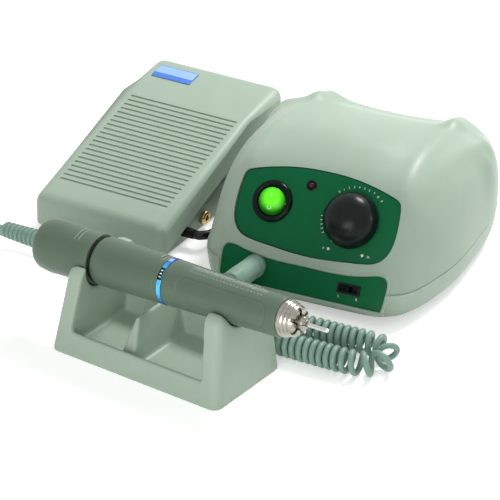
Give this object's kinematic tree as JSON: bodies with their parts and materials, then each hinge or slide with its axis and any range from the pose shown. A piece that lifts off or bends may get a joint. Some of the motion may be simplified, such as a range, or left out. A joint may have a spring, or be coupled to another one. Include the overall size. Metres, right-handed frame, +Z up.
{
  "type": "dental lab micromotor",
  "caption": "Dental laboratory micromotor: control box with speed knob, rocker and direction switch, pencil handpiece on a cradle, foot pedal and coiled cord.",
  "frame": {"origin": "on the table, under the middle of the set without its cords", "axes": "+X to the right of the control box seen from its front, +Y to its back, +Z up"},
  "size_m": [0.2782, 0.3543, 0.0793],
  "materials": {
    "shell_plastic": "light sage, fine satin",
    "grip_plastic": "sage grey, satin",
    "cord_rubber": "grey teal, satin",
    "panel_green": "dark green, satin film",
    "lens_green": "translucent green, gloss",
    "lens_red": "dark red, gloss",
    "black_plastic": "black, satin",
    "black_rubber": "black, matt",
    "nozzle_chrome": "polished",
    "steel": "ground",
    "brass": "turned",
    "blue_metal": "anodised blue",
    "blue_label": "printed film",
    "copper_winding": "enamelled copper",
    "board_green": "circuit board",
    "core_steel": "dark"
  },
  "bodies": {
    "station": {"blue_ring": "blue_metal", "case_base": "shell_plastic", "case_cover": "shell_plastic", "circuit_board": "board_green", "cord_boot": "cord_rubber", "cord_plug": "cord_rubber", "cradle": "shell_plastic", "curly_cord": "cord_rubber", "direction_switch": "black_plastic", "foot_back_left": "black_rubber", "foot_back_right": "black_rubber", "foot_front_left": "black_rubber", "foot_front_right": "black_rubber", "front_bearing": "steel", "front_panel": "panel_green", "handpiece_socket": "cord_rubber", "hinge_pin": "steel", "jack_bush": "brass", "lamp_lens": "lens_red", "lamp_rim": "black_plastic", "mains_inlet": "black_plastic", "motor_housing": "grip_plastic", "pedal_base": "shell_plastic", "pedal_boot": "black_rubber", "pedal_cable": "black_rubber", "pedal_cable_coil": "black_rubber", "pedal_cable_lead": "black_rubber", "pedal_pad_back": "black_rubber", "pedal_pad_front": "black_rubber", "pedal_plug": "black_rubber", "pedal_socket": "nozzle_chrome", "potentiometer": "steel", "rear_bearing": "steel", "rear_cap": "grip_plastic", "return_spring": "steel", "rocker_bezel": "black_plastic", "rocker_pin": "steel", "screw_back_left": "steel", "screw_back_right": "steel", "screw_front_left": "steel", "screw_front_right": "steel", "seal_ring": "black_rubber", "sensor_board": "board_green", "stator": "copper_winding", "strip_panel": "panel_green", "transformer": "core_steel"},
    "rocker": {"rocker_button": "lens_green"},
    "knob": {"speed_knob": "black_plastic", "pot_shaft": "steel"},
    "slider": {"direction_slider": "black_plastic"},
    "grip": {"grip_sleeve": "grip_plastic", "nozzle": "nozzle_chrome"},
    "spindle": {"spindle": "steel", "rotor": "core_steel", "collet": "nozzle_chrome"},
    "bur": {"bur_shank": "steel"},
    "treadle": {"treadle": "shell_plastic", "pedal_label": "blue_label", "sensor_magnet": "core_steel"}
  },
  "joints": [
    {"name": "rocker_tilt", "type": "hinge", "parent": "station", "child": "rocker", "pos_m": [0.0241, 0.00588, 0.05013], "axis": [1, 0, 0], "range_deg": [-12, 0]},
    {"name": "knob_turn", "type": "hinge", "parent": "station", "child": "knob", "pos_m": [0.0737, 0.00538, 0.04903], "axis": [0, 0.829, -0.5592], "range_deg": [0, 300]},
    {"name": "direction_slide", "type": "slide", "parent": "station", "child": "slider", "axis": [1, 0, 0], "range_m": [0, 0.0048]},
    {"name": "chuck_twist", "type": "hinge", "parent": "station", "child": "grip", "pos_m": [0.0086, -0.1004, 0.0498], "axis": [0.9809, -0.1889, 0.0454], "range_deg": [0, 60]},
    {"name": "spindle_spin", "type": "hinge", "parent": "station", "child": "spindle", "pos_m": [0.0086, -0.1004, 0.0498], "axis": [0.9809, -0.1889, 0.0454], "continuous": true},
    {"name": "bur_withdraw", "type": "slide", "parent": "spindle", "child": "bur", "axis": [0.9809, -0.1889, 0.0454], "range_m": [0, 0.02]},
    {"name": "treadle_press", "type": "hinge", "parent": "station", "child": "treadle", "pos_m": [-0.08138, 0.00741, 0.012], "axis": [-0.9966, 0.0819, 0], "range_deg": [0, 9], "stiffness_Nm_per_rad": 3, "springref_deg": -4.58, "deforming": ["return_spring"]}
  ]
}
